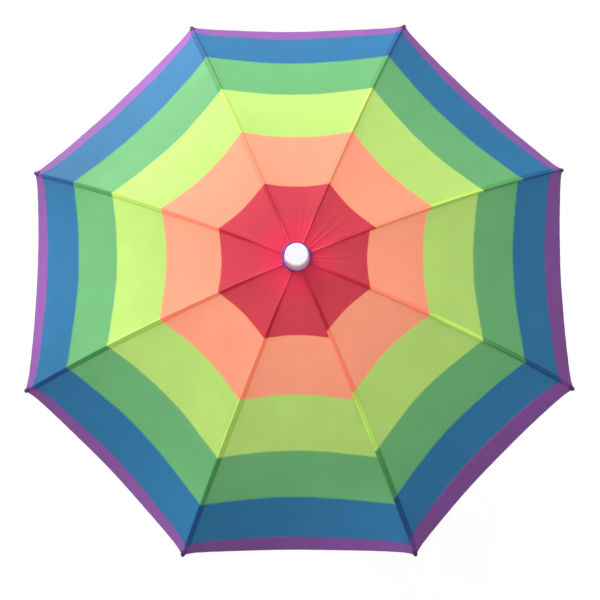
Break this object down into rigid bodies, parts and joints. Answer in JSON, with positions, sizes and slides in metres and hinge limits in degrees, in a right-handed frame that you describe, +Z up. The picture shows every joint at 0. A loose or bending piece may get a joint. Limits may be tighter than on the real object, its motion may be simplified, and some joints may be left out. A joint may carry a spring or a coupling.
{
  "type": "beach umbrella",
  "caption": "Beach umbrella with a domed, hinged-rib canopy on a telescoping, tilting pole; shades one person and stands in a base or in sand.",
  "frame": {"origin": "tip of the ground spike, on the pole's axis", "axes": "+Z up along the pole, +X the way the canopy tilts and the clamp knob points, +Y the side of the tilt button"},
  "size_m": [1.116, 1.116, 1.6385],
  "materials": {
    "pole_paint": "gloss white paint on steel tube",
    "white_plastic": "satin moulded",
    "grey_plastic": "satin moulded",
    "cap_plastic": "gloss white moulded",
    "bare_steel": "zinc plated",
    "rib_paint": "dark enamel on steel wire",
    "tip_plastic": "gloss black moulded",
    "canopy_cloth": "satin polyester, striped in rings of red, orange, lime, green, blue and a purple hem",
    "rosette_cloth": "purple satin polyester"
  },
  "bodies": {
    "lower_pole": {"lower_pole_tube": "pole_paint", "ground_spike": "grey_plastic", "height_collar": "white_plastic"},
    "clamp_knob": {"clamp_knob": "grey_plastic"},
    "middle_pole": {"middle_pole_tube": "pole_paint", "middle_tube_bush": "white_plastic", "tilt_yoke": "white_plastic", "tilt_pin": "bare_steel", "tilt_spring": "bare_steel"},
    "tilt_button": {"tilt_button": "grey_plastic"},
    "upper_pole": {"upper_pole_tube": "pole_paint", "tilt_tongue": "white_plastic", "crown_hub": "white_plastic", "crown_wire": "bare_steel", "top_cap": "cap_plastic", "cap_rosette": "rosette_cloth"},
    "runner_catch": {"runner_catch": "bare_steel"},
    "rib_1": {"rib_1": "rib_paint", "rib_tip_1": "tip_plastic", "rib_joiner_1": "bare_steel", "canopy_sector_1": "canopy_cloth"},
    "strut_1": {"strut_1": "rib_paint"},
    "rib_2": {"rib_2": "rib_paint", "rib_tip_2": "tip_plastic", "rib_joiner_2": "bare_steel", "canopy_sector_2": "canopy_cloth"},
    "strut_2": {"strut_2": "rib_paint"},
    "rib_3": {"rib_3": "rib_paint", "rib_tip_3": "tip_plastic", "rib_joiner_3": "bare_steel", "canopy_sector_3": "canopy_cloth"},
    "strut_3": {"strut_3": "rib_paint"},
    "rib_4": {"rib_4": "rib_paint", "rib_tip_4": "tip_plastic", "rib_joiner_4": "bare_steel", "canopy_sector_4": "canopy_cloth"},
    "strut_4": {"strut_4": "rib_paint"},
    "rib_5": {"rib_5": "rib_paint", "rib_tip_5": "tip_plastic", "rib_joiner_5": "bare_steel", "canopy_sector_5": "canopy_cloth"},
    "strut_5": {"strut_5": "rib_paint"},
    "rib_6": {"rib_6": "rib_paint", "rib_tip_6": "tip_plastic", "rib_joiner_6": "bare_steel", "canopy_sector_6": "canopy_cloth"},
    "strut_6": {"strut_6": "rib_paint"},
    "rib_7": {"rib_7": "rib_paint", "rib_tip_7": "tip_plastic", "rib_joiner_7": "bare_steel", "canopy_sector_7": "canopy_cloth"},
    "strut_7": {"strut_7": "rib_paint"},
    "rib_8": {"rib_8": "rib_paint", "rib_tip_8": "tip_plastic", "rib_joiner_8": "bare_steel", "canopy_sector_8": "canopy_cloth"},
    "strut_8": {"strut_8": "rib_paint"},
    "runner": {"runner": "white_plastic", "runner_wire": "bare_steel"}
  },
  "joints": [
    {"name": "height_slide", "type": "slide", "parent": "lower_pole", "child": "middle_pole", "axis": [0, 0, 1], "range_m": [-0.25, 0]},
    {"name": "clamp_knob_turn", "type": "hinge", "parent": "lower_pole", "child": "clamp_knob", "pos_m": [0.03, 0, 0.577], "axis": [1, 0, 0], "range_deg": [-180, 180]},
    {"name": "tilt_hinge", "type": "hinge", "parent": "middle_pole", "child": "upper_pole", "pos_m": [0, 0, 0.895], "axis": [0, 1, 0], "range_deg": [0, 35]},
    {"name": "tilt_button_press", "type": "slide", "parent": "middle_pole", "child": "tilt_button", "axis": [0, -1, 0], "range_m": [0, 0.0026], "stiffness_N_per_m": 300, "deforming": ["tilt_spring"]},
    {"name": "runner_catch_press", "type": "slide", "parent": "upper_pole", "child": "runner_catch", "axis": [-1, 0, 0], "range_m": [0, 0.0042], "stiffness_N_per_m": 300},
    {"name": "canopy_fold", "type": "hinge", "parent": "upper_pole", "child": "rib_1", "pos_m": [0.01478, 0.00612, 1.6], "axis": [-0.3827, 0.9239, 0], "range_deg": [0, 70], "deforming": ["canopy_sector_1", "canopy_sector_2", "canopy_sector_3", "canopy_sector_4", "canopy_sector_5", "canopy_sector_6", "canopy_sector_7", "canopy_sector_8", "runner_catch"]},
    {"name": "rib_2_fold", "type": "hinge", "parent": "upper_pole", "child": "rib_2", "pos_m": [0.00612, 0.01478, 1.6], "axis": [-0.9239, 0.3827, 0], "range_deg": [0, 70]},
    {"name": "rib_3_fold", "type": "hinge", "parent": "upper_pole", "child": "rib_3", "pos_m": [-0.00612, 0.01478, 1.6], "axis": [-0.9239, -0.3827, 0], "range_deg": [0, 70]},
    {"name": "rib_4_fold", "type": "hinge", "parent": "upper_pole", "child": "rib_4", "pos_m": [-0.01478, 0.00612, 1.6], "axis": [-0.3827, -0.9239, 0], "range_deg": [0, 70]},
    {"name": "rib_5_fold", "type": "hinge", "parent": "upper_pole", "child": "rib_5", "pos_m": [-0.01478, -0.00612, 1.6], "axis": [0.3827, -0.9239, 0], "range_deg": [0, 70]},
    {"name": "rib_6_fold", "type": "hinge", "parent": "upper_pole", "child": "rib_6", "pos_m": [-0.00612, -0.01478, 1.6], "axis": [0.9239, -0.3827, 0], "range_deg": [0, 70]},
    {"name": "rib_7_fold", "type": "hinge", "parent": "upper_pole", "child": "rib_7", "pos_m": [0.00612, -0.01478, 1.6], "axis": [0.9239, 0.3827, 0], "range_deg": [0, 70]},
    {"name": "rib_8_fold", "type": "hinge", "parent": "upper_pole", "child": "rib_8", "pos_m": [0.01478, -0.00612, 1.6], "axis": [0.3827, 0.9239, 0], "range_deg": [0, 70]},
    {"name": "strut_1_fold", "type": "hinge", "parent": "rib_1", "child": "strut_1", "pos_m": [0.28604, 0.11848, 1.54538], "axis": [0.3827, -0.9239, 0], "range_deg": [0, 140]},
    {"name": "strut_2_fold", "type": "hinge", "parent": "rib_2", "child": "strut_2", "pos_m": [0.11848, 0.28604, 1.54538], "axis": [0.9239, -0.3827, 0], "range_deg": [0, 140]},
    {"name": "strut_3_fold", "type": "hinge", "parent": "rib_3", "child": "strut_3", "pos_m": [-0.11848, 0.28604, 1.54538], "axis": [0.9239, 0.3827, 0], "range_deg": [0, 140]},
    {"name": "strut_4_fold", "type": "hinge", "parent": "rib_4", "child": "strut_4", "pos_m": [-0.28604, 0.11848, 1.54538], "axis": [0.3827, 0.9239, 0], "range_deg": [0, 140]},
    {"name": "strut_5_fold", "type": "hinge", "parent": "rib_5", "child": "strut_5", "pos_m": [-0.28604, -0.11848, 1.54538], "axis": [-0.3827, 0.9239, 0], "range_deg": [0, 140]},
    {"name": "strut_6_fold", "type": "hinge", "parent": "rib_6", "child": "strut_6", "pos_m": [-0.11848, -0.28604, 1.54538], "axis": [-0.9239, 0.3827, 0], "range_deg": [0, 140]},
    {"name": "strut_7_fold", "type": "hinge", "parent": "rib_7", "child": "strut_7", "pos_m": [0.11848, -0.28604, 1.54538], "axis": [-0.9239, -0.3827, 0], "range_deg": [0, 140]},
    {"name": "strut_8_fold", "type": "hinge", "parent": "rib_8", "child": "strut_8", "pos_m": [0.28604, -0.11848, 1.54538], "axis": [-0.3827, -0.9239, 0], "range_deg": [0, 140]},
    {"name": "runner_travel", "type": "hinge", "parent": "strut_1", "child": "runner", "pos_m": [0.01478, 0.00612, 1.49076], "axis": [-0.3827, 0.9239, 0], "range_deg": [0, 70]}
  ],
  "couplings": [
    {"joint": "rib_2_fold", "follows": "canopy_fold", "ratio": 1},
    {"joint": "rib_3_fold", "follows": "canopy_fold", "ratio": 1},
    {"joint": "rib_4_fold", "follows": "canopy_fold", "ratio": 1},
    {"joint": "rib_5_fold", "follows": "canopy_fold", "ratio": 1},
    {"joint": "rib_6_fold", "follows": "canopy_fold", "ratio": 1},
    {"joint": "rib_7_fold", "follows": "canopy_fold", "ratio": 1},
    {"joint": "rib_8_fold", "follows": "canopy_fold", "ratio": 1},
    {"joint": "strut_1_fold", "follows": "canopy_fold", "ratio": 2},
    {"joint": "strut_2_fold", "follows": "canopy_fold", "ratio": 2},
    {"joint": "strut_3_fold", "follows": "canopy_fold", "ratio": 2},
    {"joint": "strut_4_fold", "follows": "canopy_fold", "ratio": 2},
    {"joint": "strut_5_fold", "follows": "canopy_fold", "ratio": 2},
    {"joint": "strut_6_fold", "follows": "canopy_fold", "ratio": 2},
    {"joint": "strut_7_fold", "follows": "canopy_fold", "ratio": 2},
    {"joint": "strut_8_fold", "follows": "canopy_fold", "ratio": 2},
    {"joint": "runner_travel", "follows": "canopy_fold", "ratio": 1}
  ]
}
